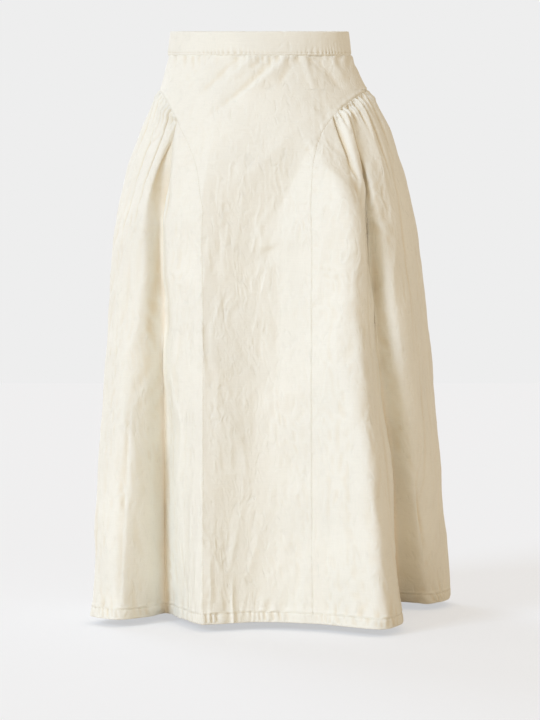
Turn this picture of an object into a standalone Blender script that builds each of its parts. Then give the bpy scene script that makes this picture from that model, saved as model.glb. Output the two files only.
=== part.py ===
"""A-line midi skirt, as worn: a waistband, a front and a back panel whose yokes reach the sides, and two
wide side panels gathered into the arched yoke seams.

Metres, +Z up, the wearer faces -Y, and +X is the viewer's right. The origin is the middle of the waistband.
Every panel is a patch of one surface, skirt_surface(s, v): s runs once round the cloth and v runs from the
waist seam (0) to the hem (1).
"""

import math
from collections import namedtuple

import bmesh
import bpy
import numpy as np

# ---------------------------------------------------------------- driving sizes, in metres
WAIST_HALF_WIDTH = 0.129
WAIST_HALF_DEPTH = 0.094
WAIST_TILT = 0.150  # rise of the waist for each metre from front to back
BAND_HEIGHT = 0.033
BAND_TAPER = 0.0035  # the band's top edge is this much nearer the body
BAND_PROUD = 0.0009  # the band stands this far outside the cloth below it
HEM_Z = -0.801
HEM_TURN = 0.016  # height of the turned-up hem
YOKE_DROP = 0.050  # waist seam to the top of the side panels' arch
KNEE_DROP = 0.169  # from there down to where the yoke seam becomes the panel's straight seam
HIP_DROP = 0.218  # waist seam to the level of the fold table's hip columns
FLARE_BULGE = 0.115  # how much fuller than straight the flare is half way down
LEAST_TURN = math.radians(3.5)  # the least angle between two fold lines where they meet the waist

CLOTH = 0.0012
HEM_CLOTH = 0.0022
BAND_CLOTH = 0.0024
SEAM_GAP = 0.0003

CREAM = (0.86, 0.81, 0.70, 1.0)
CREAM_BAND = (0.85, 0.80, 0.69, 1.0)

# ---------------------------------------------------------------- sections above the hip
Section = namedtuple("Section", "name drop left right front back")
WAIST = Section("waist seam", 0.0, WAIST_HALF_WIDTH, WAIST_HALF_WIDTH, WAIST_HALF_DEPTH, WAIST_HALF_DEPTH)
YOKE = Section("top of the arches", YOKE_DROP, 0.1410, 0.1530, 0.1120, 0.1150)
HIGH_HIP = Section("high hip", 0.108, 0.1660, 0.1855, 0.1270, 0.1340)
HIP = Section("hip", HIP_DROP, 0.1970, 0.2220, 0.1400, 0.1480)

# ---------------------------------------------------------------- fold lines, clockwise from above the front
# Each line follows the cloth from the hip to the hem. Places are in millimetres from the origin's axis.
# sharp is 1 where the cloth turns a corner at a seam and 0 where it bends softly.
Line = namedtuple("Line", "name hip_x hip_y hem_x hem_y sharp")
LINES = [
    Line("front middle", 12, -133, -2, -165, 0),
    Line("right seam", 70, -147, 73, -182, 0.4),
    Line("right front slope", 97, -159, 108, -206, 0),
    Line("right front crest", 116, -163, 160, -241, 0),
    Line("right front edge", 130, -147, 192, -172, 0),
    Line("deep wall", 136, -124, 183, -94, 0),
    Line("deep wall's fold", 140, -109, 196, -14, 0),
    Line("deep valley", 147, -98, 200, 76, 0),
    Line("right side crest", 166, -108, 241, 58, 0),
    Line("right side slope", 194, -66, 266, 86, 0),
    Line("right side", 220, 18, 280, 138, 0),
    Line("right back crest", 200, 78, 240, 206, 0),
    Line("right back valley", 170, 100, 190, 158, 0),
    Line("right back fold", 122, 131, 134, 236, 0),
    Line("back right seam", 74, 145, 76, 214, 0.6),
    Line("back middle", 0, 148, 0, 196, 0),
    Line("back left seam", -74, 144, -76, 214, 0.6),
    Line("left back fold", -110, 132, -122, 234, 0),
    Line("left back valley", -138, 112, -150, 146, 0),
    Line("left back crest", -162, 92, -202, 172, 0),
    Line("left back dip", -177, 62, -184, 108, 0),
    Line("left rear side", -192, 34, -222, 52, 0),
    Line("left side dip", -195, 0, -194, -12, 0),
    Line("left side", -196, -34, -229, -98, 0),
    Line("left front crest", -176, -80, -190, -136, 0),
    Line("left front flank", -156, -101, -158, -105, 0),
    Line("left front valley", -134, -87, -132, -62, 0),
    Line("left front rise", -123, -107, -106, -124, 0),
    Line("left seam", -78, -137, -76, -193, 0.8),
]

# The deep fold at the right front opens late, so its lines leave the even flare from hip to hem. Their places
# are at a quarter, a half and three quarters of the way down.
Fall = namedtuple("Fall", "line x1 y1 x2 y2 x3 y3")
FALLS = [
    Fall("right front crest", 124, -178, 138, -202, 150, -224),
    Fall("right front edge", 141, -161, 157, -176, 174, -178),
    Fall("deep wall", 148, -138, 163, -138, 176, -122),
    Fall("deep wall's fold", 153, -119, 169, -103, 185, -62),
    Fall("deep valley", 160, -105, 178, -76, 193, -12),
    Fall("right side crest", 184, -116, 204, -92, 224, -28),
    Fall("right side slope", 206, -92, 227, -60, 248, 8),
]

# ---------------------------------------------------------------- gathers of one quarter of an arch
# at is the place along the gathered stretch of the yoke seam, 0 at its front end and 1 at the side.
Gather = namedtuple("Gather", "at depth run")
GATHERS = [
    Gather(0.03, 0.0045, 0.150),
    Gather(0.12, 0.0030, 0.030),
    Gather(0.21, 0.0075, 0.170),
    Gather(0.31, 0.0034, 0.045),
    Gather(0.41, 0.0040, 0.060),
    Gather(0.52, 0.0068, 0.150),
    Gather(0.62, 0.0036, 0.050),
    Gather(0.73, 0.0056, 0.110),
    Gather(0.83, 0.0032, 0.040),
    Gather(0.94, 0.0050, 0.095),
]
# The share of each yoke seam, from the side towards the knee, that is gathered.
GATHERED = {"right front": 0.49, "left front": 0.42, "right back": 0.49, "left back": 0.49}
GATHER_RISE = 0.010  # below the seam, where the gathers reach their full depth
PUFF = 0.0065  # how far the gathered cloth swells out below the seam
PUFF_RISE = 0.012
PUFF_FADE = 0.16

# How fast each yoke seam sweeps in from the side: the drop over which it falls to a third.
SWEEPS = {"right front": 0.045, "left front": 0.090, "right back": 0.060, "left back": 0.060}

# ---------------------------------------------------------------- back gathers on the hidden elastic
ELASTIC_WAVES = 10
ELASTIC_DEPTH = 0.0032
ELASTIC_FADE = 0.045

# ---------------------------------------------------------------- mesh densities
PLAIN_KNOTS = 7  # knots on the flat stretch of each yoke seam
FRONT_COLUMNS = 12
BACK_COLUMNS = 2 * ELASTIC_WAVES
YOKE_ROWS = 3
SIDE_ROWS = [0, 0.009, 0.022, 0.042, 0.072, 0.115, 0.17, 0.24, 0.33, 0.43, 0.54, 0.66, 0.79, 0.995]
BAND_FRONT_COLUMNS = 24
BAND_BACK_COLUMNS = 4 * ELASTIC_WAVES

LENGTH = -HEM_Z - BAND_HEIGHT / 2  # waist seam to hem at the side


# ---------------------------------------------------------------- curves
def hermite(t):
    """The four cubic Hermite weights at t: start value, start slope, end value, end slope."""
    return 2 * t**3 - 3 * t**2 + 1, t**3 - 2 * t**2 + t, 3 * t**2 - 2 * t**3, t**3 - t**2


def along(knots, values, at):
    """An open smooth curve through values at knots, read at the places `at`."""
    knots = np.asarray(knots, float)
    gap = np.diff(knots).reshape((-1,) + (1,) * (values.ndim - 1))
    slope = np.diff(values, axis=0) / gap
    inner = (slope[:-1] * gap[1:] + slope[1:] * gap[:-1]) / (gap[:-1] + gap[1:])
    tangent = np.concatenate([slope[:1], inner, slope[-1:]])
    i = np.clip(np.searchsorted(knots, at, "right") - 1, 0, len(knots) - 2)
    shape = (-1,) + (1,) * (values.ndim - 1)
    t = ((at - knots[i]) / (knots[i + 1] - knots[i])).reshape(shape)
    start, leave, end, arrive = hermite(t)
    ends = start * values[i] + end * values[i + 1]
    return ends + leave * gap[i] * tangent[i] + arrive * gap[i] * tangent[i + 1]


def ellipse(section, turn):
    """Points of a section at angles `turn` from the front, its four quarters each with their own reach."""
    across = np.where(np.sin(turn) > 0, section.right, section.left) * np.sin(turn)
    deep = -np.where(np.cos(turn) > 0, section.front, section.back) * np.cos(turn)
    return np.stack([across, deep], axis=-1)


# ---------------------------------------------------------------- the one surface of the skirt
HIP_POINTS = np.array([(line.hip_x, line.hip_y) for line in LINES]) / 1000
HEM_POINTS = np.array([(line.hem_x, line.hem_y) for line in LINES]) / 1000
SHARP = np.array([line.sharp for line in LINES])[None, :, None]
HEM_STEPS = np.linalg.norm(np.roll(HEM_POINTS, -1, axis=0) - HEM_POINTS, axis=1)
HEM_ROUND = HEM_STEPS.sum()
S_KNOTS = np.concatenate([[0], np.cumsum(HEM_STEPS)[:-1]]) / HEM_ROUND
S_GAPS = (HEM_STEPS / HEM_ROUND)[:, None]


def turns_of_lines():
    """Each line's angle on the sections above the hip, growing once round from the front middle.

    Lines that a deep fold brings too close together, or past each other, are spread to LEAST_TURN apart."""
    across = HIP_POINTS[:, 0] / np.where(HIP_POINTS[:, 0] > 0, HIP.right, HIP.left)
    deep = HIP_POINTS[:, 1] / np.where(HIP_POINTS[:, 1] < 0, HIP.front, HIP.back)
    turns = np.mod(np.arctan2(across, -deep), 2 * math.pi)
    for _ in range(60):
        short = np.maximum(LEAST_TURN - np.diff(turns, append=turns[0] + 2 * math.pi), 0) / 2
        turns = turns - short + np.roll(short, 1)
    return turns


TURNS = turns_of_lines()
V_YOKE = YOKE_DROP / LENGTH
V_HIP = HIP_DROP / LENGTH
V_KNEE = (YOKE_DROP + KNEE_DROP) / LENGTH
V_LEVELS = np.linspace(0, 1, 301)


def controls_by_level():
    """The fold lines' points at every one of V_LEVELS, from the waist section down to the hem."""
    flare = np.array([0, 0.25, 0.5, 0.75, 1])
    grown = flare + FLARE_BULGE * np.sin(math.pi * flare)
    below = [HIP_POINTS + (HEM_POINTS - HIP_POINTS) * share for share in grown]
    names = [line.name for line in LINES]
    for line, *places in FALLS:
        for ring, across, deep in zip(below[1:4], places[::2], places[1::2]):
            ring[names.index(line)] = across / 1000, deep / 1000
    uppers = [WAIST, YOKE, HIGH_HIP]
    knots = np.concatenate([[section.drop / LENGTH for section in uppers], V_HIP + (1 - V_HIP) * flare])
    rings = np.array([ellipse(section, TURNS) for section in uppers] + below)
    return along(knots, rings, V_LEVELS)


CONTROL = controls_by_level()
SLOPE = (np.roll(CONTROL, -1, axis=1) - CONTROL) / S_GAPS
SLOPE_BEFORE = np.roll(SLOPE, 1, axis=1)
GAP_BEFORE = np.roll(S_GAPS, 1, axis=0)
TANGENT = (SLOPE_BEFORE * S_GAPS + SLOPE * GAP_BEFORE) / (S_GAPS + GAP_BEFORE)
LEAVE = TANGENT * (1 - SHARP) + SLOPE * SHARP
ARRIVE = TANGENT * (1 - SHARP) + SLOPE_BEFORE * SHARP

# At the waist and the yoke the curve is an ellipse. It turns into the folds' own curve on the way to the hip.
UPPERS = [WAIST, YOKE, HIGH_HIP, HIP]
UPPER_REACHES = np.array([section[2:] for section in UPPERS])
REACHES = along([section.drop / LENGTH for section in UPPERS], UPPER_REACHES, V_LEVELS)
FOLDED = np.clip((V_LEVELS - V_YOKE) / (V_HIP - V_YOKE) * 1.2, 0, 1)
FOLDED = FOLDED**2 * (3 - 2 * FOLDED)
TURNS_ROUND = np.append(TURNS, TURNS[0] + 2 * math.pi)
TURN_RATE = np.diff(TURNS_ROUND) / S_GAPS[:, 0]
TURN_SLOPE = 2 * TURN_RATE * np.roll(TURN_RATE, 1) / (TURN_RATE + np.roll(TURN_RATE, 1))


def turn_at(s):
    """The angle on the upper sections at s, from 0 to 1. It grows smoothly from each fold line to the next."""
    i = np.clip(np.searchsorted(S_KNOTS, s, "right") - 1, 0, len(LINES) - 1)
    gap = S_GAPS[i, 0]
    a, b, c, d = hermite((s - S_KNOTS[i]) / gap)
    ends = a * TURNS_ROUND[i] + c * TURNS_ROUND[i + 1]
    return ends + gap * (b * TURN_SLOPE[i] + d * TURN_SLOPE[(i + 1) % len(LINES)])


def fold_ring(level, s):
    """The closed smooth curve through one level's fold lines, read at s, as (across, deep)."""
    i = np.clip(np.searchsorted(S_KNOTS, s, "right") - 1, 0, len(LINES) - 1)
    j = (i + 1) % len(LINES)
    gap = S_GAPS[i, 0]
    weights = [w[..., None] for w in hermite((s - S_KNOTS[i]) / gap)]
    return (
        weights[0] * CONTROL[level, i]
        + weights[1] * gap[..., None] * LEAVE[level, i]
        + weights[2] * CONTROL[level, j]
        + weights[3] * gap[..., None] * ARRIVE[level, j]
    )


def ring_point(level, s):
    """One level's closed curve as (across, deep): the ellipse above and the folds' curve below, mixed by level."""
    s = np.mod(s, 1)
    share = FOLDED[level][..., None]
    smooth_ring = ellipse(Section("mixed", 0, *np.moveaxis(REACHES[level], -1, 0)), turn_at(s))
    return smooth_ring * (1 - share) + fold_ring(level, s) * share


def skirt_surface(s, v):
    """Points of the smooth skirt at (s, v): the ring at that level, its height falling evenly to the hem."""
    s, v = np.broadcast_arrays(np.asarray(s, float), np.asarray(v, float))
    place = np.clip(v, 0, 1) * (len(V_LEVELS) - 1)
    level = np.minimum(place.astype(int), len(V_LEVELS) - 2)
    share = (place - level)[..., None]
    flat = ring_point(level, s) * (1 - share) + ring_point(level + 1, s) * share
    waist_z = -BAND_HEIGHT / 2 + WAIST_TILT * ring_point(np.zeros_like(level), s)[..., 1]
    z = waist_z + (HEM_Z - waist_z) * v
    return np.concatenate([flat, z[..., None]], axis=-1)


def unit(vectors):
    return vectors / np.maximum(np.linalg.norm(vectors, axis=-1, keepdims=True), 1e-9)


def outward(s, v):
    """The smooth skirt's outward normal: across the cloth crossed with down the cloth."""
    step = 0.0015
    s, v = np.broadcast_arrays(np.asarray(s, float), np.asarray(v, float))
    across = skirt_surface(s + step, v) - skirt_surface(s - step, v)
    down = skirt_surface(s, np.minimum(v + step, 1)) - skirt_surface(s, np.maximum(v - step, 0))
    return unit(np.cross(down, across))


# ---------------------------------------------------------------- angles round the yoke, and the yoke seams
S_FINE = np.linspace(0, 1, 4001)


def turn_table():
    """The angle on the upper sections for each of S_FINE, read from the waist's own closed curve."""
    point = ring_point(np.zeros(len(S_FINE), int), S_FINE)
    turn = np.arctan2(point[:, 0] / WAIST_HALF_WIDTH, -point[:, 1] / WAIST_HALF_DEPTH)
    return np.maximum.accumulate(np.unwrap(turn))


TURN_FINE = turn_table()


def s_at_turn(turn):
    """The cloth's s at an angle on the upper sections; angles left of the front are negative."""
    whole = np.floor((turn - TURN_FINE[0]) / (2 * math.pi))
    return np.interp(turn - whole * 2 * math.pi, TURN_FINE, S_FINE) + whole


def turn_of(name):
    """The angle of one named line, between -pi and pi."""
    turn = TURN_FINE[np.searchsorted(S_FINE, S_KNOTS[[line.name for line in LINES].index(name)])]
    return turn - 2 * math.pi if turn > math.pi else turn


QUARTERS = {  # seam line, and the side of the body that the quarter ends on
    "right front": ("right seam", math.pi / 2),
    "right back": ("back right seam", math.pi / 2),
    "left back": ("back left seam", -math.pi / 2),
    "left front": ("left seam", -math.pi / 2),
}


def seam_turn(quarter, v):
    """The yoke seam's angle at v: at the side down to the arch's top, then sweeping in to the knee."""
    line, side = QUARTERS[quarter]
    sweep = SWEEPS[quarter]
    end = math.exp(-KNEE_DROP / sweep)
    drop = np.clip((v - V_YOKE) * LENGTH, 0, KNEE_DROP)
    share = (np.exp(-drop / sweep) - end) / (1 - end)
    inner = abs(math.sin(turn_of(line)))
    turn = np.arcsin(np.clip(inner + (1 - inner) * share, 0, 1))
    if "back" in quarter:
        turn = math.pi - turn
    return math.copysign(1, side) * turn


def seam_knots(quarter):
    """The knots (s, v) that both neighbours share along a yoke seam, from the knee up to the side.

    The gathered stretch has a knot at each gather's valley and half way to the next. The flat one has a few,
    spaced evenly by a mix of the distance along the seam and the distance round the cloth."""
    v = np.linspace(V_KNEE, V_YOKE, 1201)
    v = V_YOKE + (V_KNEE - V_YOKE) * ((v - V_YOKE) / (V_KNEE - V_YOKE)) ** 2
    s = s_at_turn(seam_turn(quarter, v))
    points = skirt_surface(s, v)
    run = np.concatenate([[0], np.cumsum(np.linalg.norm(np.diff(points, axis=0), axis=1))])
    plain = 1 - GATHERED[quarter]
    valleys = plain + GATHERED[quarter] * np.array([g.at for g in GATHERS])
    crests = (valleys + np.append(valleys[1:], 1.0)) / 2
    mix = run / run[-1] + np.abs(s - s[0]) / np.abs(s[-1] - s[0])
    flat = np.linspace(0, np.interp(valleys[0] * run[-1], run, mix), PLAIN_KNOTS + 1)[:-1]
    flat = np.interp(flat, mix, run) / run[-1]
    places = np.concatenate([flat, np.stack([valleys, crests], 1).ravel(), [1.0]])
    at = places * run[-1]
    return np.interp(at, run, s), np.interp(at, run, v)


# ---------------------------------------------------------------- relief on the smooth surface
def fade(distance, rise, run):
    """0 at the seam, 1 after `rise`, and back to 0 over `run`, both smooth."""
    up = np.clip(distance / rise, 0, 1)
    down = np.clip(distance / run, 0, 1)
    return up * up * (3 - 2 * up) * (1 - down) ** 2 * (1 + 2 * down)


def gather_relief(knots_s, s, below):
    """Height over the smooth surface of one gathered quarter: a swell, less a notch at each gather's valley.

    Columns of a panel sit on the valleys and crests, and below is the distance from the seam, in metres."""
    first = PLAIN_KNOTS
    height = PUFF * fade(below, PUFF_RISE, PUFF_FADE)
    for i, gather in enumerate(GATHERS):
        middle = knots_s[first + 2 * i]
        before = knots_s[first + 2 * i - 1]
        after = knots_s[first + 2 * i + 1]
        side = np.where((s - middle) * (after - middle) > 0, after, before)
        offset = (s - middle) / (side - middle)
        notch = np.clip(1 - np.abs(offset), 0, 1)
        height = height - gather.depth * notch * fade(below, GATHER_RISE, gather.run)
    return height


def elastic_relief(turn, below):
    """The back yoke's ripples under the gathered band, fading out below it."""
    wave = np.cos(ELASTIC_WAVES * 2 * (turn - math.pi / 2))
    ends = np.clip((math.pi / 2 - np.abs(turn - math.pi)) / 0.25, 0, 1)
    down = np.clip(below / ELASTIC_FADE, 0, 1)
    up = np.clip(below / 0.004, 0.25, 1)
    return ELASTIC_DEPTH * 0.5 * wave * ends * up * (1 - down) ** 2


# ---------------------------------------------------------------- solids
def cloth_material(name, colour):
    material = bpy.data.materials.new(name)
    material.use_nodes = True
    shader = material.node_tree.nodes["Principled BSDF"]
    shader.inputs["Base Color"].default_value = colour
    shader.inputs["Roughness"].default_value = 0.85
    shader.inputs["Metallic"].default_value = 0.0
    return material


def closed_wall(name, outer, inner, colour):
    """A wall between two grids of points with the same rows and columns, its four edges closed.

    Both sheets are cut into triangles along the same diagonals, so a twisted patch stays evenly thick."""
    rows, columns = outer.shape[:2]
    bm = bmesh.new()
    sheets = [[[bm.verts.new(p) for p in row] for row in grid] for grid in (outer, inner)]
    front, back = sheets
    for r in range(rows - 1):
        for c in range(columns - 1):
            for corners in (((r, c), (r + 1, c), (r + 1, c + 1)), ((r, c), (r + 1, c + 1), (r, c + 1))):
                bm.faces.new([front[i][j] for i, j in corners])
                bm.faces.new([back[i][j] for i, j in reversed(corners)])
    rim = [(0, c) for c in range(columns)] + [(r, columns - 1) for r in range(1, rows)]
    rim += [(rows - 1, c) for c in range(columns - 2, -1, -1)] + [(r, 0) for r in range(rows - 2, 0, -1)]
    for (r0, c0), (r1, c1) in zip(rim, rim[1:] + rim[:1]):
        bm.faces.new((front[r0][c0], front[r1][c1], back[r1][c1], back[r0][c0]))
    bmesh.ops.recalc_face_normals(bm, faces=bm.faces)
    mesh = bpy.data.meshes.new(name)
    bm.to_mesh(mesh)
    bm.free()
    mesh.shade_smooth()
    mesh.set_sharp_from_angle(angle=math.radians(50))
    mesh.materials.append(cloth_material(name + " cotton", colour))
    piece = bpy.data.objects.new(name, mesh)
    SKIRT.objects.link(piece)
    return piece


def thickness(v):
    """The cloth's thickness at v: doubled where the hem is turned up."""
    return np.where(v > 1 - 1.05 * HEM_TURN / LENGTH, HEM_CLOTH, CLOTH)[..., None]


def parted(points, normals, edge, towards):
    """Moves one edge of a grid half a seam gap into its own piece, square to the edge and in the cloth.

    edge indexes the grid; towards is the sign that takes it into the piece."""
    line = points[edge]
    tangent = unit(np.gradient(line, axis=0))
    points[edge] = line + towards * SEAM_GAP / 2 * unit(np.cross(normals[edge], tangent))


def mitred(points, normals):
    """Offset directions that keep the wall evenly thick round a sharp fold between two flat facets.

    The outer columns and the top row keep the surface's own normals, which the neighbouring panel shares."""
    across = np.diff(points, axis=1)
    down = np.gradient(points, axis=0)
    facet = unit(np.cross(down[:, 1:] + down[:, :-1], across))
    middle = unit(facet[:, 1:] + facet[:, :-1])
    lean = np.sum(middle * facet[:, 1:], axis=-1, keepdims=True)
    offsets = np.array(normals)
    offsets[1:, 1:-1] = (middle / np.maximum(lean, 0.4))[1:]
    return offsets


def body_panel(name, quarters, columns, relief):
    """A front or back panel: its yoke reaches both sides, then it narrows to its seams and runs to the hem.

    quarters are the one at the first column and the one at the last. Each row joins the same knot of both
    seams, and between them the rows spread out to even heights."""
    hem_row = 1 - HEM_TURN / LENGTH
    above = np.linspace(0, V_YOKE, YOKE_ROWS + 1)[:-1]
    below = V_KNEE + (hem_row - V_KNEE) * np.array(SIDE_ROWS[1:] + [1.0])
    edges = [np.concatenate([above, seam_knots(quarter)[1][::-1], below, [1]]) for quarter in quarters]
    knots = len(edges[0]) - len(above) - len(below) - 1
    even = np.concatenate([0.4 * above, np.linspace(0.4 * V_YOKE, V_KNEE, knots), below, [1]])
    share = np.linspace(0, 1, columns + 1)
    vv = edges[0][:, None] + (edges[1] - edges[0])[:, None] * share
    vv = vv + (even[:, None] - vv) * np.sin(math.pi * share) ** 0.8
    first, last = seam_turn(quarters[0], vv), seam_turn(quarters[1], vv)
    if "back" in name:
        last = last + 2 * math.pi
    turn = first + (last - first) * share
    s = s_at_turn(turn)
    points, normals = skirt_surface(s, vv), outward(s, vv)
    outer = points + normals * relief(turn, vv * LENGTH)[..., None]
    parted(outer, normals, (slice(None), 0), 1)
    parted(outer, normals, (slice(None), -1), -1)
    outer[0, :, 2] -= SEAM_GAP / 2
    peak = YOKE_ROWS
    for column in (0, -1):
        outer[peak, column, 2] += SEAM_GAP / 2
    return closed_wall(name, outer, outer - normals * thickness(vv), CREAM)


def side_panel(name, quarters):
    """A side panel from the front seam round to the back one, gathered along the arch above it.

    Each column follows the cloth from a knot of the arch down to the hem."""
    front_s, front_v = seam_knots(quarters[0])
    back_s, back_v = seam_knots(quarters[1])
    s = np.concatenate([front_s, back_s[-2::-1]])
    top_v = np.concatenate([front_v, back_v[-2::-1]])
    hem_row = 1 - HEM_TURN / LENGTH
    q = np.array(SIDE_ROWS)[:, None]
    v = top_v + (hem_row - top_v) * q
    v = np.concatenate([v, np.full((1, len(s)), hem_row), np.ones((1, len(s)))])
    ss = np.broadcast_to(s, v.shape)
    points, normals = skirt_surface(ss, v), outward(ss, v)
    below = (v - top_v) * LENGTH
    middle = len(front_s) - 1
    relief = np.where(
        np.arange(len(s)) <= middle, gather_relief(front_s, ss, below), gather_relief(back_s, ss, below)
    )
    ends = np.minimum(np.arange(len(s)), np.arange(len(s))[::-1])
    relief = relief * np.clip(ends / (PLAIN_KNOTS - 1), 0, 1)
    outer = points + normals * relief[..., None]
    parted(outer, normals, (0, slice(None)), -1)
    parted(outer, normals, (slice(1, None), 0), 1)
    parted(outer, normals, (slice(1, None), -1), -1)
    return closed_wall(name, outer, outer - mitred(outer, normals) * thickness(v), CREAM)


def waistband(name, first, last, columns, relief):
    """Half of the band: from just above the waist seam up to its folded edge, leaning in a little."""
    turn = np.linspace(first, last, columns + 1)
    rise = np.array([SEAM_GAP / 2, 0.15, 0.85, 1.0])[:, None]
    rise = np.concatenate([rise[:1], rise[1:] * BAND_HEIGHT])
    s = s_at_turn(turn)
    seam = skirt_surface(s, np.zeros_like(s))
    out = np.stack([np.sin(turn) / WAIST_HALF_WIDTH, -np.cos(turn) / WAIST_HALF_DEPTH, 0 * turn], axis=-1)
    out = unit(out)
    lean = BAND_PROUD - BAND_TAPER * rise / BAND_HEIGHT
    height = seam + np.array([0, 0, 1]) * rise[..., None]
    outer = height + out * (lean + relief(turn, rise))[..., None]
    outer = outer[::-1]
    normals = np.broadcast_to(out, outer.shape)
    parted(outer, normals, (slice(None), 0), 1)
    parted(outer, normals, (slice(None), -1), -1)
    return closed_wall(name, outer, outer - normals * BAND_CLOTH, CREAM_BAND)


def band_ripple(turn, rise):
    """The gathered casing's ripples, highest half way up the band."""
    wave = np.cos(ELASTIC_WAVES * 2 * (turn - math.pi / 2))
    ends = np.clip((math.pi / 2 - np.abs(turn - math.pi)) / 0.25, 0, 1)
    swell = 0.35 + 0.65 * np.sin(math.pi * np.clip(rise / BAND_HEIGHT, 0, 1))
    return 0.0012 * wave * ends * swell


def no_relief(turn, below):
    return np.zeros(np.broadcast(turn, below).shape)


# ---------------------------------------------------------------- the scene
for old in list(bpy.data.objects):
    bpy.data.objects.remove(old)
SKIRT = bpy.data.collections.new("a-line skirt")
bpy.context.scene.collection.children.link(SKIRT)

waistband("waistband_front", -math.pi / 2, math.pi / 2, BAND_FRONT_COLUMNS, no_relief)
waistband("waistband_back", math.pi / 2, 1.5 * math.pi, BAND_BACK_COLUMNS, band_ripple)
body_panel("front_panel", ("left front", "right front"), FRONT_COLUMNS, no_relief)
body_panel("back_panel", ("right back", "left back"), BACK_COLUMNS, elastic_relief)
side_panel("side_panel_right", ("right front", "right back"))
side_panel("side_panel_left", ("left back", "left front"))
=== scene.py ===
"""The a-line skirt as it looks: six sheets of washed cream cotton with their gathers, pulls, creases,
puckered seams and hems, its stitching, a pale floor, soft studio light and the photograph's camera.

Metres, +Z up, the wearer faces -Y. Every panel is a patch of one surface, skirt_surface(s, v): s runs once
round the cloth and v from the waist seam (0) to the hem (1). body_relief() and side_relief() then move that
surface in and out.
"""

import math
from collections import namedtuple

import bpy
import numpy as np
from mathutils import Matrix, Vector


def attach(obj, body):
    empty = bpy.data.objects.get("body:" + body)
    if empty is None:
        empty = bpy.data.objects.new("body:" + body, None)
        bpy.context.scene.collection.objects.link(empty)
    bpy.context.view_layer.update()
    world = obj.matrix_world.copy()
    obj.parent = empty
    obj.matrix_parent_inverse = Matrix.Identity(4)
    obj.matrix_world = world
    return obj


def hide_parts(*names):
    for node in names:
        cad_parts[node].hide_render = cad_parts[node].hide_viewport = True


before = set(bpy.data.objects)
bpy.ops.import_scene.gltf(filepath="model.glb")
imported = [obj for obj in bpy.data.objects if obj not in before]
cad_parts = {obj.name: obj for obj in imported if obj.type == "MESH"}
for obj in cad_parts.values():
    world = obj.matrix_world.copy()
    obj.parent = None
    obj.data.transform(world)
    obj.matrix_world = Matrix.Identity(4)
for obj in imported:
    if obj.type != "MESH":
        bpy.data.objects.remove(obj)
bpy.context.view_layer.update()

# ======== the same sizes as the model's
WAIST_HALF_WIDTH = 0.129
WAIST_HALF_DEPTH = 0.094
WAIST_TILT = 0.150
BAND_HEIGHT = 0.033
BAND_TAPER = 0.0035
BAND_PROUD = 0.0009
HEM_Z = -0.801
HEM_TURN = 0.016
HEM_STITCH_UP = 0.0125
BAND_STITCH_UP = 0.003
YOKE_DROP = 0.050
KNEE_DROP = 0.169
HIP_DROP = 0.218
FLARE_BULGE = 0.115
LEAST_TURN = math.radians(3.5)
LENGTH = -HEM_Z - BAND_HEIGHT / 2

# how far below the waist seam a level section is, and how far it reaches each way
Section = namedtuple("Section", "drop left right front back")
WAIST = Section(0.0, WAIST_HALF_WIDTH, WAIST_HALF_WIDTH, WAIST_HALF_DEPTH, WAIST_HALF_DEPTH)
YOKE = Section(YOKE_DROP, 0.1410, 0.1530, 0.1120, 0.1150)
HIGH_HIP = Section(0.108, 0.1660, 0.1855, 0.1270, 0.1340)
HIP = Section(HIP_DROP, 0.1970, 0.2220, 0.1400, 0.1480)

# fold lines, clockwise from above the front, in millimetres from the origin's axis
Line = namedtuple("Line", "name hip_x hip_y hem_x hem_y sharp")
LINES = [Line(*row) for row in (
    ("front middle", 12, -133, -2, -165, 0),
    ("right seam", 70, -147, 73, -182, 0.4),
    ("right front slope", 97, -159, 108, -206, 0),
    ("right front crest", 116, -163, 160, -241, 0),
    ("right front edge", 130, -147, 192, -172, 0),
    ("deep wall", 136, -124, 183, -94, 0),
    ("deep wall's fold", 140, -109, 196, -14, 0),
    ("deep valley", 147, -98, 200, 76, 0),
    ("right side crest", 166, -108, 241, 58, 0),
    ("right side slope", 194, -66, 266, 86, 0),
    ("right side", 220, 18, 280, 138, 0),
    ("right back crest", 200, 78, 240, 206, 0),
    ("right back valley", 170, 100, 190, 158, 0),
    ("right back fold", 122, 131, 134, 236, 0),
    ("back right seam", 74, 145, 76, 214, 0.6),
    ("back middle", 0, 148, 0, 196, 0),
    ("back left seam", -74, 144, -76, 214, 0.6),
    ("left back fold", -110, 132, -122, 234, 0),
    ("left back valley", -138, 112, -150, 146, 0),
    ("left back crest", -162, 92, -202, 172, 0),
    ("left back dip", -177, 62, -184, 108, 0),
    ("left rear side", -192, 34, -222, 52, 0),
    ("left side dip", -195, 0, -194, -12, 0),
    ("left side", -196, -34, -229, -98, 0),
    ("left front crest", -176, -80, -190, -136, 0),
    ("left front flank", -156, -101, -158, -105, 0),
    ("left front valley", -134, -87, -132, -62, 0),
    ("left front rise", -123, -107, -106, -124, 0),
    ("left seam", -78, -137, -76, -193, 0.8),
)]

# The deep fold at the right front opens late, so its lines leave the even flare from hip to hem. Their places
# are at a quarter, a half and three quarters of the way down.
Fall = namedtuple("Fall", "line x1 y1 x2 y2 x3 y3")
FALLS = [Fall(*row) for row in (
    ("right front crest", 124, -178, 138, -202, 150, -224),
    ("right front edge", 141, -161, 157, -176, 174, -178),
    ("deep wall", 148, -138, 163, -138, 176, -122),
    ("deep wall's fold", 153, -119, 169, -103, 185, -62),
    ("deep valley", 160, -105, 178, -76, 193, -12),
    ("right side crest", 184, -116, 204, -92, 224, -28),
    ("right side slope", 206, -92, 227, -60, 248, 8),
)]

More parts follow.
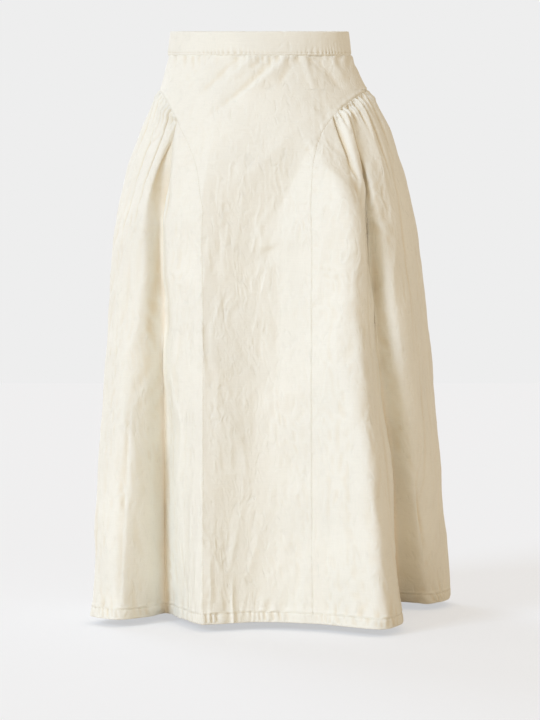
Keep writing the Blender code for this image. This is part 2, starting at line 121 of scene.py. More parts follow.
Gather = namedtuple("Gather", "at depth run")
GATHERS = [Gather(*row) for row in (
    (0.03, 0.0045, 0.150),
    (0.12, 0.0030, 0.030),
    (0.21, 0.0075, 0.170),
    (0.31, 0.0034, 0.045),
    (0.41, 0.0040, 0.060),
    (0.52, 0.0068, 0.150),
    (0.62, 0.0036, 0.050),
    (0.73, 0.0056, 0.110),
    (0.83, 0.0032, 0.040),
    (0.94, 0.0050, 0.095),
)]
GATHER_RISE = 0.005  # below the seam, to a notch's full depth
NOTCH_DEPTH = 1.55  # of a gather's own depth
NOTCH_POWER = 2.8  # how round the cloth is between two notches
FINE_GATHER = 0.0014
PUFF = 0.0045  # the swell that the gathers hang from
PUFF_RISE = 0.016
PUFF_FADE = 0.16
HEM_PUCKER = 0.0014
WAIST_PUCKER = 0.0015
BAND_PUCKER = 0.0009
# how far under its neighbours a hollow lies where it gets its full painted shade
FULL_HOLLOW = 0.0025  # under its neighbours, where a hollow has its full tint
FULL_FOLD = 0.022
QUARTERS = ("right front", "right back", "left back", "left front")
FRONT_HALF = (-math.pi / 2, math.pi / 2)  # the front band's angles
BACK_HALF = (math.pi / 2, 1.5 * math.pi)
BODY_QUARTERS = {"front": ("left front", "right front"), "back": ("right back", "left back")}
SEAM_LINE = dict(zip(QUARTERS, ("right seam", "back right seam", "back left seam", "left seam")))
SWEEPS = {"right front": 0.045, "left front": 0.090, "right back": 0.060, "left back": 0.060}
GATHERED = {"right front": 0.49, "left front": 0.42, "right back": 0.49, "left back": 0.49}

ELASTIC_WAVES = 10
ELASTIC_DEPTH = 0.0032
ELASTIC_FADE = 0.045

ARCH_RUN = 0.215  # along a yoke seam, from the side to the knee
STEP_ASIDE = 0.00192  # from a seam to the row of stitches beside it, at the hem
FLOOR_Z = -0.812
HEM_SHARE = 0.03  # of a panel's length, where its rows are closer
HEM_ROWS = 22
HEM_THICK = 0.0022
# the share of the painted fold shade that the flatter front and back panels get
BODY_FOLD_SHADE_SHARE = 0.2  # of the folds' tint, on the flatter front and back

# ======== the photograph's camera
EYE = np.array([0.0149, -3.0, -0.450])
FOCAL = 2113 / 720 * 36  # millimetres, for a 36 mm sensor along the image's long side


# ======== curves and noise
def hermite(t):
    return 2 * t**3 - 3 * t**2 + 1, t**3 - 2 * t**2 + t, 3 * t**2 - 2 * t**3, t**3 - t**2


def smooth(x):
    """0 below 0, 1 above 1, and an S-curve between."""
    x = np.clip(x, 0, 1)
    return x * x * (3 - 2 * x)


def along(knots, values, at):
    """An open smooth curve through values at knots, read at the places `at`."""
    knots = np.asarray(knots, float)
    gap = np.diff(knots).reshape((-1,) + (1,) * (values.ndim - 1))
    slope = np.diff(values, axis=0) / gap
    inner = (slope[:-1] * gap[1:] + slope[1:] * gap[:-1]) / (gap[:-1] + gap[1:])
    tangent = np.concatenate([slope[:1], inner, slope[-1:]])
    i = np.clip(np.searchsorted(knots, at, "right") - 1, 0, len(knots) - 2)
    t = ((at - knots[i]) / (knots[i + 1] - knots[i])).reshape((-1,) + (1,) * (values.ndim - 1))
    a, b, c, d = hermite(t)
    return a * values[i] + b * gap[i] * tangent[i] + c * values[i + 1] + d * gap[i] * tangent[i + 1]


def unit(vectors):
    return vectors / np.maximum(np.linalg.norm(vectors, axis=-1, keepdims=True), 1e-9)


def noise(points, seed):
    """Smooth noise from -1 to 1: random values on a 32-step lattice, blended between the eight nearest."""
    lattice = np.random.default_rng(seed).uniform(-1, 1, (32, 32, 32))
    cell = np.floor(points).astype(int)
    f = points - cell
    f = f**3 * (f * (f * 6 - 15) + 10)
    out = 0
    for corner in np.ndindex(2, 2, 2):
        weight = np.prod(np.where(np.array(corner), f, 1 - f), axis=-1)
        i, j, k = np.moveaxis((cell + corner) % 32, -1, 0)
        out = out + weight * lattice[i, j, k]
    return out


# ======== the one surface of the skirt
HIP_POINTS = np.array([(line.hip_x, line.hip_y) for line in LINES]) / 1000
HEM_POINTS = np.array([(line.hem_x, line.hem_y) for line in LINES]) / 1000
SHARP = np.array([line.sharp for line in LINES])[None, :, None]
HEM_STEPS = np.linalg.norm(np.roll(HEM_POINTS, -1, axis=0) - HEM_POINTS, axis=1)
HEM_ROUND = HEM_STEPS.sum()
S_KNOTS = np.concatenate([[0], np.cumsum(HEM_STEPS)[:-1]]) / HEM_ROUND
S_GAPS = (HEM_STEPS / HEM_ROUND)[:, None]
V_YOKE = YOKE_DROP / LENGTH
V_HIP = HIP_DROP / LENGTH
V_KNEE = (YOKE_DROP + KNEE_DROP) / LENGTH
V_LEVELS = np.linspace(0, 1, 401)


def ellipse(section, turn):
    """Points of a section at angles `turn` from the front, its four quarters each with their own reach."""
    across = np.where(np.sin(turn) > 0, section.right, section.left) * np.sin(turn)
    deep = -np.where(np.cos(turn) > 0, section.front, section.back) * np.cos(turn)
    return np.stack([across, deep], axis=-1)


def turns_of_lines():
    """Each line's angle on the upper sections. Lines that a deep fold brings too close are spread apart."""
    across = HIP_POINTS[:, 0] / np.where(HIP_POINTS[:, 0] > 0, HIP.right, HIP.left)
    deep = HIP_POINTS[:, 1] / np.where(HIP_POINTS[:, 1] < 0, HIP.front, HIP.back)
    turns = np.mod(np.arctan2(across, -deep), 2 * math.pi)
    for _ in range(60):
        short = np.maximum(LEAST_TURN - np.diff(turns, append=turns[0] + 2 * math.pi), 0) / 2
        turns = turns - short + np.roll(short, 1)
    return turns


TURNS = turns_of_lines()


def controls_by_level():
    """The fold lines' points at every one of V_LEVELS, from the waist section down to the hem."""
    flare = np.array([0, 0.25, 0.5, 0.75, 1])
    grown = flare + FLARE_BULGE * np.sin(math.pi * flare)
    below = [HIP_POINTS + (HEM_POINTS - HIP_POINTS) * share for share in grown]
    names = [line.name for line in LINES]
    for line, *places in FALLS:
        for ring, across, deep in zip(below[1:4], places[::2], places[1::2]):
            ring[names.index(line)] = across / 1000, deep / 1000
    uppers = [WAIST, YOKE, HIGH_HIP]
    knots = np.concatenate([[section.drop / LENGTH for section in uppers], V_HIP + (1 - V_HIP) * flare])
    return along(knots, np.array([ellipse(section, TURNS) for section in uppers] + below), V_LEVELS)


CONTROL = controls_by_level()
SLOPE = (np.roll(CONTROL, -1, axis=1) - CONTROL) / S_GAPS
SLOPE_BEFORE = np.roll(SLOPE, 1, axis=1)
GAP_BEFORE = np.roll(S_GAPS, 1, axis=0)
TANGENT = (SLOPE_BEFORE * S_GAPS + SLOPE * GAP_BEFORE) / (S_GAPS + GAP_BEFORE)
LEAVE = TANGENT * (1 - SHARP) + SLOPE * SHARP
ARRIVE = TANGENT * (1 - SHARP) + SLOPE_BEFORE * SHARP

# At the waist and the yoke the curve is an ellipse. It turns into the folds' own curve on the way to the hip.
UPPERS = [WAIST, YOKE, HIGH_HIP, HIP]
UPPER_REACHES = np.array([section[1:] for section in UPPERS])
REACHES = along([section.drop / LENGTH for section in UPPERS], UPPER_REACHES, V_LEVELS)
FOLDED = np.clip((V_LEVELS - V_YOKE) / (V_HIP - V_YOKE) * 1.2, 0, 1)
FOLDED = FOLDED**2 * (3 - 2 * FOLDED)
TURNS_ROUND = np.append(TURNS, TURNS[0] + 2 * math.pi)
TURN_RATE = np.diff(TURNS_ROUND) / S_GAPS[:, 0]
TURN_SLOPE = 2 * TURN_RATE * np.roll(TURN_RATE, 1) / (TURN_RATE + np.roll(TURN_RATE, 1))


def turn_at(s):
    """The angle on the upper sections at s, from 0 to 1, growing smoothly from each fold line to the next."""
    i = np.clip(np.searchsorted(S_KNOTS, s, "right") - 1, 0, len(LINES) - 1)
    gap = S_GAPS[i, 0]
    a, b, c, d = hermite((s - S_KNOTS[i]) / gap)
    ends = a * TURNS_ROUND[i] + c * TURNS_ROUND[i + 1]
    return ends + gap * (b * TURN_SLOPE[i] + d * TURN_SLOPE[(i + 1) % len(LINES)])


def fold_ring(level, s):
    """The closed smooth curve through one level's fold lines, read at s, as (across, deep)."""
    i = np.clip(np.searchsorted(S_KNOTS, s, "right") - 1, 0, len(LINES) - 1)
    j = (i + 1) % len(LINES)
    gap = S_GAPS[i, 0]
    a, b, c, d = [w[..., None] for w in hermite((s - S_KNOTS[i]) / gap)]
    gap = gap[..., None]
    ends = a * CONTROL[level, i] + c * CONTROL[level, j]
    return ends + b * gap * LEAVE[level, i] + d * gap * ARRIVE[level, j]


def ring_point(level, s):
    """One level's closed curve as (across, deep): the ellipse above, mixed into the folds' curve below."""
    s = np.mod(s, 1)
    share = FOLDED[level][..., None]
    smooth_ring = ellipse(Section(0, *np.moveaxis(REACHES[level], -1, 0)), turn_at(s))
    return smooth_ring * (1 - share) + fold_ring(level, s) * share


def skirt_surface(s, v):
    """Points of the smooth skirt at (s, v): the ring at that level, its height falling evenly to the hem."""
    s, v = np.broadcast_arrays(np.asarray(s, float), np.asarray(v, float))
    place = np.clip(v, 0, 1) * (len(V_LEVELS) - 1)
    level = np.minimum(place.astype(int), len(V_LEVELS) - 2)
    share = (place - level)[..., None]
    flat = ring_point(level, s) * (1 - share) + ring_point(level + 1, s) * share
    waist_z = -BAND_HEIGHT / 2 + WAIST_TILT * ring_point(np.zeros_like(level), s)[..., 1]
    z = waist_z + (HEM_Z - waist_z) * v
    return np.concatenate([flat, z[..., None]], axis=-1)


def outward(s, v):
    """The smooth skirt's normal, from its change over a short way round and down."""
    step = 0.0015
    s, v = np.broadcast_arrays(np.asarray(s, float), np.asarray(v, float))
    low, high = np.maximum(v - step, 0), np.minimum(v + step, 1)
    across = (skirt_surface(s + step, v) - skirt_surface(s - step, v)) / (2 * step)
    down = (skirt_surface(s, high) - skirt_surface(s, low)) / (high - low)[..., None]
    return unit(np.cross(down, across))


S_FINE = np.linspace(0, 1, 4001)


def turn_table():
    """The angle on the waist's ellipse at each of S_FINE, unwrapped and never falling."""
    point = ring_point(np.zeros(len(S_FINE), int), S_FINE)
    turn = np.arctan2(point[:, 0] / WAIST_HALF_WIDTH, -point[:, 1] / WAIST_HALF_DEPTH)
    return np.maximum.accumulate(np.unwrap(turn))


TURN_FINE = turn_table()


def s_at_turn(turn):
    """The cloth's s at an angle on the upper sections; angles left of the front are negative."""
    whole = np.floor((turn - TURN_FINE[0]) / (2 * math.pi))
    return np.interp(turn - whole * 2 * math.pi, TURN_FINE, S_FINE) + whole


def seam_turn(quarter, v):
    """The yoke seam's angle at v: at the side down to the arch's top, then exponentially in to the knee."""
    index = [line.name for line in LINES].index(SEAM_LINE[quarter])
    inner = abs(math.sin(TURN_FINE[np.searchsorted(S_FINE, S_KNOTS[index])]))
    end = math.exp(-KNEE_DROP / SWEEPS[quarter])
    drop = np.clip((v - V_YOKE) * LENGTH, 0, KNEE_DROP)
    share = (np.exp(-drop / SWEEPS[quarter]) - end) / (1 - end)
    turn = np.arcsin(np.clip(inner + (1 - inner) * share, 0, 1))
    if "back" in quarter:
        turn = math.pi - turn
    return turn if "right" in quarter else -turn


def seam_curve(quarter, count):
    """count points (s, v) evenly along a yoke seam, from the knee up to the side, and the share done."""
    v = V_YOKE + (V_KNEE - V_YOKE) * np.linspace(1, 0, 1201) ** 2
    s = s_at_turn(seam_turn(quarter, v))
    run = np.concatenate([[0], np.cumsum(np.linalg.norm(np.diff(skirt_surface(s, v), axis=0), axis=1))])
    share = np.linspace(0, 1, count)
    return np.interp(share * run[-1], run, s), np.interp(share * run[-1], run, v), share


# ======== creases, listed one by one
# A crease is a bent line on the cloth, seen from one side of the skirt. Places are in millimetres on the
# plane through the origin's axis: u to the viewer's right of the axis and d down from the band's middle.
# The line runs from 0 to 2 and is pulled towards 1, as a quadratic curve is.
# before and after are how far it spreads on the left and the right of the line, going along it.
# rise is how far the cloth stands out (in, if negative), edge is the crest's own radius, and head and tail
# are how strong the line still is at its two ends.
Crease = namedtuple("Crease", "u0 d0 u1 d1 u2 d2 before after rise edge head tail")
CREASES = {
    "front": [
        # pulls from the front band, down to the left
        (25, 14, -12, 58, -92, 116, 7, 9, -4.6, 2, 0.9, 0.1),
        (41, 15, 18, 47, -40, 84, 8, 6, 4.2, 1.5, 1, 0.1),
        (-26, 15, -58, 42, -98, 84, 6, 8, -3.8, 2, 0.8, 0.1),
        (-8, 15, -22, 38, -62, 62, 5, 5, 3.2, 1.5, 1, 0.1),
        (56, 14, 36, 40, 24, 62, 5, 5, -2.4, 1.2, 1, 0.1),
        (62, 18, 70, 42, 78, 74, 3, 6, 2.2, 0.8, 0.9, 0.1),
        (78, 15, 102, 48, 124, 72, 6, 7, -2.9, 1.5, 0.9, 0.2),
        (96, 15, 112, 38, 124, 56, 5, 5, 2.2, 1.2, 0.9, 0.1),
        (-62, 15, -70, 30, -88, 48, 4, 5, 1.4, 1, 0.9, 0.1),
        (9, 15, -2, 27, -20, 40, 3, 4, -1.9, 0.6, 1, 0.1),
        (50, 15, 46, 28, 36, 42, 3, 4, 1.7, 0.6, 1, 0.1),
        (68, 15, 78, 28, 94, 44, 4, 3, -1.8, 0.6, 1, 0.1),
        # the front's long slanting valley and the loose cloth under it
        (80, 96, 20, 158, -56, 218, 30, 40, 4.2, 2.2, 0.5, 0.4),
        (72, 152, 30, 205, 14, 290, 54, 38, -9, 2.5, 0.3, 0.6),
        (14, 290, 34, 366, 13, 470, 50, 34, -7.4, 2, 0.6, 0.5),
        (-45, 356, -38, 440, 9, 481, 4, 9, -0.8, 0.6, 0.3, 0.6),
        (-80, 440, -30, 470, 10, 492, 22, 24, 1.8, 1.2, 0.3, 0.8),
        (10, 512, 34, 496, 69, 495, 22, 18, 1.8, 0.9, 0.8, 0.8),
        (52, 574, 60, 570, 69, 569, 20, 16, 1.6, 0.8, 0.7, 0.9),
        (-50, 524, -44, 552, -18, 590, 6, 16, 1.5, 1.5, 0.5, 0.2),
        (72, 564, 44, 664, 28, 790, 18, 14, 1.8, 3, 0.3, 0.6),
        (-79, 228, -60, 262, -46, 290, 4, 7, 1, 0.8, 0.8, 0.2),
        (-62, 236, -52, 284, -60, 330, 5, 5, -0.9, 0.8, 0.3, 0.3),
        (-8, 220, -22, 300, -4, 352, 14, 10, -1.6, 3, 0.2, 0.2),
        (34, 250, 46, 330, 40, 420, 9, 9, 1, 2, 0.2, 0.2),
        # long folds out of the right front gathers
        (117, 97, 134, 150, 146, 300, 34, 8, 9, 2, 0.8, 0.1),
        (108, 108, 122, 160, 132, 228, 3, 4, -3, 0.6, 0.9, 0.6),
        (124, 190, 150, 300, 162, 450, 20, 8, 4.5, 1.2, 0.2, 0.4),
        (127, 88, 146, 154, 150, 248, 5, 13, -5.4, 0.7, 0.9, 0.4),
        (116, 120, 134, 190, 144, 262, 4, 5, 2.8, 1, 0.5, 0.4),
        (140, 80, 164, 140, 192, 256, 15, 4, 3.8, 0.6, 0.7, 0.5),
        (172, 158, 188, 200, 204, 240, 4, 8, 2.2, 0.8, 0.3, 0.3),
        (154, 244, 168, 252, 192, 282, 4, 9, 2.2, 0.9, 0.9, 0.4),
        (158, 240, 197, 370, 207, 520, 16, 12, 5, 2, 0.4, 0.1),
        (213, 358, 222, 372, 234, 386, 3, 6, 1.8, 0.6, 0.6, 0.8),
        (103, 120, 102, 180, 101, 250, 5, 5, -0.7, 1, 0.6, 0.2),
        (86, 150, 92, 230, 88, 330, 6, 8, 1, 1.5, 0.3, 0.2),
        # long folds out of the left front gathers
        (-123, 106, -136, 176, -136, 262, 26, 4, -9, 1, 0.8, 0.2),
        (-130, 122, -142, 160, -163, 203, 8, 6, 3.6, 0.7, 0.6, 1),
        (-137, 122, -148, 132, -157, 142, 4, 4, -2.4, 0.6, 0.8, 0.8),
        (-158, 98, -162, 120, -161, 152, 4, 5, -2.4, 0.8, 0.8, 0.3),
        (-175, 237, -187, 336, -205, 464, 8, 8, -1.8, 1.2, 0.4, 0.6),
        (-212, 440, -206, 466, -204, 480, 5, 6, -1.6, 1, 0.6, 0.6),
        (-110, 308, -104, 350, -93, 391, 6, 4, 1.4, 0.8, 0.3, 0.9),
        (-89, 370, -86, 392, -84, 402, 4, 4, -1, 0.6, 0.5, 0.5),
        (-138, 250, -137, 450, -137, 800, 12, 6, 3.5, 4, 0.1, 0.8),
        # down the front lobes to the hem
        (120, 420, 134, 560, 150, 790, 10, 12, 1.8, 3, 0.2, 0.8),
        (96, 520, 100, 640, 96, 800, 10, 10, -1.5, 3, 0.2, 0.6),
        (-214, 560, -222, 680, -226, 800, 6, 9, -1.4, 2, 0.2, 0.6),
        (-186, 500, -190, 640, -196, 800, 9, 9, 1.4, 2, 0.2, 0.6),
    ],
    "back": [
        (40, 14, 12, 60, -50, 118, 8, 9, -2, 2, 0.9, 0.1),
        (-44, 14, -30, 50, 6, 96, 7, 8, -1.6, 2, 0.9, 0.1),
        (74, 110, 20, 170, -40, 236, 12, 40, 2.6, 3, 0.4, 0.3),
        (30, 330, -20, 390, -62, 410, 6, 18, 1.8, 1.2, 0.3, 0.9),
        (-66, 520, -20, 536, 22, 590, 5, 16, 1.6, 1, 0.9, 0.2),
        (58, 470, 44, 580, 52, 760, 12, 12, 1.6, 2.5, 0.2, 0.5),
        (128, 92, 142, 160, 156, 290, 8, 6, -5, 1, 0.9, 0.3),
        (-126, 94, -140, 170, -150, 300, 6, 8, -5, 1, 0.9, 0.3),
        (-158, 110, -176, 190, -190, 320, 6, 8, -4, 1, 0.8, 0.3),
        (156, 104, 168, 180, 172, 270, 8, 6, -3.6, 1, 0.8, 0.4),
    ],
    "right": [
        (-40, 66, -66, 200, -92, 420, 7, 12, -4, 1.2, 0.9, 0.2),
        (4, 62, 10, 180, 40, 380, 9, 9, -4.5, 1.2, 0.9, 0.3),
        (44, 72, 60, 190, 66, 330, 9, 9, -4, 1.2, 0.8, 0.2),
        (-130, 500, -96, 620, -92, 790, 18, 22, 6, 5, 0.1, 0.8),
        (-70, 430, -30, 560, -24, 790, 16, 20, -6, 5, 0.1, 0.8),
        (-20, 292, 30, 318, 52, 372, 5, 14, 2, 1, 0.8, 0.3),
    ],
    "left": [
        (-40, 70, -46, 190, -54, 330, 8, 8, -3.6, 1.2, 0.9, 0.2),
        (2, 62, -4, 200, -8, 400, 9, 9, -4.5, 1.2, 0.9, 0.3),
        (46, 74, 60, 170, 74, 300, 8, 8, -4, 1.2, 0.9, 0.2),
        (10, 300, 44, 340, 58, 410, 5, 14, 2.2, 1, 0.8, 0.3),
    ],
}
SWELL = 0.0016
CREASE_REACH = 3.2  # spreads away from its line, past which a crease is left out
CREASE_STEPS = 24
CREASE_TAPER = 0.35  # of its length, over which a crease dies away at an end
RIDGES = [  # seed, width, length and height of the crumple's sizes, in metres
    (11, 0.046, 0.085, 0.0030),
    (23, 0.022, 0.048, 0.0017),
    (37, 0.0080, 0.017, 0.0012),
]
SIDES = {  # each side's eye, and the directions that u and the view run along
    "front": ((0.0149, -3.0), (1, 0)),
    "back": ((0.0, 3.0), (-1, 0)),
    "right": ((3.0, 0.0), (0, 1)),
    "left": ((-3.0, 0.0), (0, -1)),
}


def seen_from(points, side):
    """Where points are seen on the plane through the axis, from a side's eye: u and d, in millimetres."""
    (eye_x, eye_y), (ux, uy) = SIDES[side]
    reach = abs(eye_y * ux) + abs(eye_x * uy)
    deep = (points[..., 0] - eye_x) * -uy + (points[..., 1] - eye_y) * ux
    scale = reach / np.abs(deep)
    u = ((points[..., 0] - eye_x) * ux + (points[..., 1] - eye_y) * uy) * scale + eye_x * ux + eye_y * uy
    z = EYE[2] + (points[..., 2] - EYE[2]) * scale
    return u * 1000, -z * 1000


def crease_relief(points, normals):
    """The sum of all creases: each is its rise times a rounded tent across the line and a taper along it."""
    total = np.zeros(points.shape[:-1])
    for side, ((eye_x, eye_y), _) in SIDES.items():
        eye = np.array([eye_x, eye_y, EYE[2]])
        facing = smooth((np.sum(unit(eye - points) * normals, axis=-1) - 0.12) / 0.25)
        u, d = seen_from(points, side)
        for c in (Crease(*row) for row in CREASES[side]):
            reach = CREASE_REACH * max(c.before, c.after)
            near = (facing > 0) & (u > min(c.u0, c.u1, c.u2) - reach) & (u < max(c.u0, c.u1, c.u2) + reach)
            near &= (d > min(c.d0, c.d1, c.d2) - reach) & (d < max(c.d0, c.d1, c.d2) + reach)
            if not near.any():
                continue
            p = np.stack([u[near], d[near]], axis=-1)[:, None]
            t = np.linspace(0, 1, CREASE_STEPS + 1)[:, None]
            line = (1 - t) ** 2 * [c.u0, c.d0] + 2 * t * (1 - t) * [c.u1, c.d1] + t * t * [c.u2, c.d2]
            start, step = line[:-1], np.diff(line, axis=0)
            share = np.clip(np.sum((p - start) * step, axis=-1) / np.sum(step * step, axis=-1), 0, 1)
            away = p - start - share[..., None] * step
            best = np.argmin(np.sum(away**2, axis=-1), axis=1)
            rows = np.arange(len(best))
            away, step, place = away[rows, best], step[best], (best + share[rows, best]) / CREASE_STEPS
            across = np.linalg.norm(away, axis=1)
            right = step[:, 0] * away[:, 1] - step[:, 1] * away[:, 0] < 0
            spread = np.where(right, c.after, c.before)
            tent = np.exp(-(np.sqrt(across**2 + c.edge**2) - c.edge) / spread)
            head = c.head + (1 - c.head) * smooth(place / CREASE_TAPER)
            tail = c.tail + (1 - c.tail) * smooth((1 - place) / CREASE_TAPER)
            first = np.sum((p[:, 0] - line[0]) * unit(line[1] - line[0]), axis=-1)
            # nothing behind the line's start, fading over a width that grows away from the line
            begun = smooth((first + 2.5 + 0.5 * across) / (5 + across))
            total[near] += c.rise / 1000 * tent * head * tail * begun * facing[near]
    return total


def crinkle_relief(points, strength):
    """Washed cotton's crumple: open swells with ridged noise on them, drawn out downwards and bent.

    A slower noise makes it strong in some places and nearly flat in others."""
    total = SWELL * noise(points / np.array([0.042, 0.042, 0.075]), 5)
    for seed, wide, tall, height in RIDGES:
        grid = np.array([wide, wide, tall])
        bend = noise(points / grid / 2.3, seed + 1)[..., None] * np.array([1.1, 1.1, 0.6])
        patch = np.clip(0.65 + 0.9 * noise(points / grid / 3.1, seed + 2), 0.15, 1.5)
        total = total + patch * height * (0.45 - np.sqrt(noise(points / grid + bend, seed) ** 2 + 0.0012))
    return total * strength


def crumple_of(points, v):
    """The crumple of a panel: least on the yoke and most near the hem."""
    return crinkle_relief(points, 0.55 + 0.45 * smooth((v - 0.05) / 0.2) + 0.35 * smooth((v - 0.8) / 0.2))


# ======== relief of one patch of cloth
def fade(distance, rise, run):
    """0 at the seam, 1 after `rise`, and back to 0 over `run`, both smooth."""
    down = np.clip(distance / run, 0, 1)
    return smooth(distance / rise) * (1 - down) ** 2 * (1 + 2 * down)


def gather_relief(quarter, s, below):
    """One gathered quarter: a swell below the seam, less a notch at each gather, plus a fine ripple.

    A notch is a power of how near the gather is, so that the cloth is round between two of them."""
    seam_s, _, share = seam_curve(quarter, 400)
    order = np.argsort(seam_s)
    place = np.interp(s, seam_s[order], share[order])
    place = (place - 1 + GATHERED[quarter]) / GATHERED[quarter]
    at = np.array([g.at for g in GATHERS] + [1.03])
    total = PUFF * fade(below, PUFF_RISE, PUFF_FADE) * smooth(place / 0.12)
    for i, gather in enumerate(GATHERS):
        before = at[i] - (at[i] - at[i - 1]) / 2 if i else at[0] - 0.05
        after = (at[i] + at[i + 1]) / 2
        away = place - at[i]
        offset = np.where(away > 0, away / (after - at[i]), away / (before - at[i]))
        notch = (1 - np.clip(offset, 0, 1)) ** NOTCH_POWER
        total = total - gather.depth * NOTCH_DEPTH * notch * fade(below, GATHER_RISE, gather.run)
    fine = np.sin(place * 118 + 2.2 * np.sin(place * 17)) * fade(below, 0.003, 0.042)
    return total + FINE_GATHER * fine * smooth((place + 0.02) / 0.06)


def elastic_relief(turn, below):
    """The back yoke's ripples under the gathered band, fading out below it."""
    wave = np.cos(ELASTIC_WAVES * 2 * (turn - math.pi / 2)) + 0.35 * np.cos(ELASTIC_WAVES * 5.1 * turn + 1)
    ends = np.clip((math.pi / 2 - np.abs(np.mod(turn, 2 * math.pi) - math.pi)) / 0.25, 0, 1)
    down = np.clip(below / ELASTIC_FADE, 0, 1)
    return ELASTIC_DEPTH * 0.5 * wave * ends * np.clip(below / 0.004, 0.25, 1) * (1 - down) ** 2


def nearest(points, line):
    """Each point's distance to a line of points, and how far along the line that is, both in metres.

    Points further than about 4 cm from the line are given as 1 m away."""
    every = points.reshape(-1, 3)
    run = np.concatenate([[0], np.cumsum(np.linalg.norm(np.diff(line, axis=0), axis=1))])
    rough = np.min([np.sum((every - corner) ** 2, axis=-1) for corner in line[::12]], axis=0)
    close = rough < 0.045**2
    flat = every[close]
    distance, place = np.empty(len(flat)), np.empty(len(flat))
    for first in range(0, len(flat), 4000):
        part = flat[first : first + 4000, None]
        share = np.sum((part - line[:-1]) * np.diff(line, axis=0), axis=-1)
        share = np.clip(share / np.maximum(np.sum(np.diff(line, axis=0) ** 2, axis=-1), 1e-12), 0, 1)
        away = np.linalg.norm(part - line[:-1] - share[..., None] * np.diff(line, axis=0), axis=-1)
        best = np.argmin(away, axis=1)
        rows = np.arange(len(best))
        distance[first : first + 4000] = away[rows, best]
        place[first : first + 4000] = run[best] + share[rows, best] * np.diff(run)[best]
    far, along_line = np.ones(len(every)), np.zeros(len(every))
    far[close], along_line[close] = distance, place
    return far.reshape(points.shape[:-1]), along_line.reshape(points.shape[:-1])


def whole_seam(quarter, count=260):
    """(s, v) down a whole seam: from the side over the arch to the knee, then straight down to the hem."""
    s, v, _ = seam_curve(quarter, count)
    lower = np.linspace(V_KNEE, 1, count)[1:]
    return np.concatenate([s[::-1], np.full(len(lower), s[0])]), np.concatenate([v[::-1], lower])


SEAMS = {quarter: skirt_surface(*whole_seam(quarter)) for quarter in QUARTERS}


def seam_relief(points, v, quarters, under):
    """Puckers beside the seams: the cloth dips into the seam and ripples along it, most near the hem.

    The groove and the rim beside it are deeper along the gathers. under is 1 for the side panels, whose edge
    lies under the other's, and which have no rim."""
    total = np.zeros(points.shape[:-1])
    for i, quarter in enumerate(quarters):
        away, place = nearest(points, SEAMS[quarter])
        ripple = np.sin(place / 0.0021 + 3 * np.sin(place / 0.017) + i) * np.sin(place / 0.0083 + 1.3 * i)
        strength = 0.00045 + 0.0005 * smooth((v - 0.86) / 0.12)
        gathered = smooth((GATHERED[quarter] * ARCH_RUN + 0.02 - place) / 0.03)
        groove = (0.0003 + 0.0004 * gathered) * np.exp(-((away / 0.0009) ** 2))
        rim = (0.0002 + 0.0003 * gathered) * (1 - under) * np.exp(-(((away - 0.0034) / 0.0022) ** 2))
        total += ripple * strength * np.exp(-away / 0.006) * smooth(away / 0.002) - groove + rim
    return total


def hem_relief(s, v):
    """The turned-up hem: proud of the cloth, dented along its stitches, and puckered by two sines round it.

    The quick sine is on the turned part and the slow one above it. Both drift in pace and in height."""
    up = (1 - v) * LENGTH
    run = s * HEM_ROUND
    patch = 0.55 + 0.45 * np.sin(run / 0.021 + 2 * np.sin(run / 0.047))
    wave = np.sin(run / 0.0015 + 3.2 * np.sin(run / 0.0137) + 1.2 * np.sin(run / 0.0051) + up / 0.008)
    turned = smooth((up - 0.0005) / 0.003) * (1 - smooth((up - HEM_TURN * 0.72) / 0.003))
    slow = np.sin(run / 0.0036 + 2.1 * np.sin(run / 0.019) - up / 0.02)
    above = smooth((up - 0.012) / 0.004) * (1 - smooth((up - 0.018) / 0.02))
    proud = 0.0006 * (1 - smooth((up - HEM_TURN) / 0.0015))
    dent = 0.0009 * np.exp(-(((up - HEM_STITCH_UP) / 0.0012) ** 2))
    return HEM_PUCKER * patch * (wave * turned + slow * above) + proud - dent


def waist_relief(points, v):
    """Fine puckers under the band's seam: a sine across, its pace and height drifting, fading downwards."""
    below = v * LENGTH
    run = points[..., 0]
    wave = np.sin(run / 0.00165 + 2.4 * np.sin(run / 0.012)) * (0.6 + 0.4 * np.sin(run / 0.019 + 1))
    tuck = 0.0004 * np.exp(-((below / 0.0012) ** 2)) + 0.0009 * smooth(-below / 0.001)
    return WAIST_PUCKER * wave * fade(below, 0.002, 0.026) - tuck


def body_relief(side, s, v, points, normals, turn):
    quarters = BODY_QUARTERS[side]
    total = seam_relief(points, v, quarters, 0) + hem_relief(s, v) + waist_relief(points, v)
    total += crease_relief(points, normals) * smooth((v * LENGTH + 0.001) / 0.007) + crumple_of(points, v)
    if side == "back":
        total += elastic_relief(turn, v * LENGTH)
    return total


def side_relief(quarters, s, v, points, normals, below):
    middle = s_at_turn(math.pi / 2 if "right" in quarters[0] else -math.pi / 2)
    gathers = [gather_relief(quarter, s, below) for quarter in quarters]
    total = np.where(s <= middle, gathers[0], gathers[1])
    total += seam_relief(points, v, quarters, 1) + hem_relief(s, v)
    return total + crease_relief(points, normals) + crumple_of(points, v)


def valley_shade(s, v):
    """How deep in a fold the cloth is, 0 to 1: how far its neighbours 5 cm away each side stand out."""
    step = 0.028
    middle = (skirt_surface(s - step, v) + skirt_surface(s + step, v)) / 2
    depth = np.sum((middle - skirt_surface(s, v)) * outward(s, v), axis=-1)
    # this depth sets how much painted fold shade the cloth's colour gets
    return np.clip(depth / FULL_FOLD - 0.24, 0, 1)


def hollows(lift, reach):
    """How far the cloth lies under the mean of its neighbours `reach` columns each way, 0 to 1."""
    wide = np.pad(lift, ((0, 0), (reach, reach)), mode="edge")
    count = 2 * reach + 1
    mean = sum(wide[:, step : step + lift.shape[1]] for step in range(count)) / count
    # this depth sets how much painted shade the hollows get
    return np.clip((mean - lift) / FULL_HOLLOW, 0, 1)


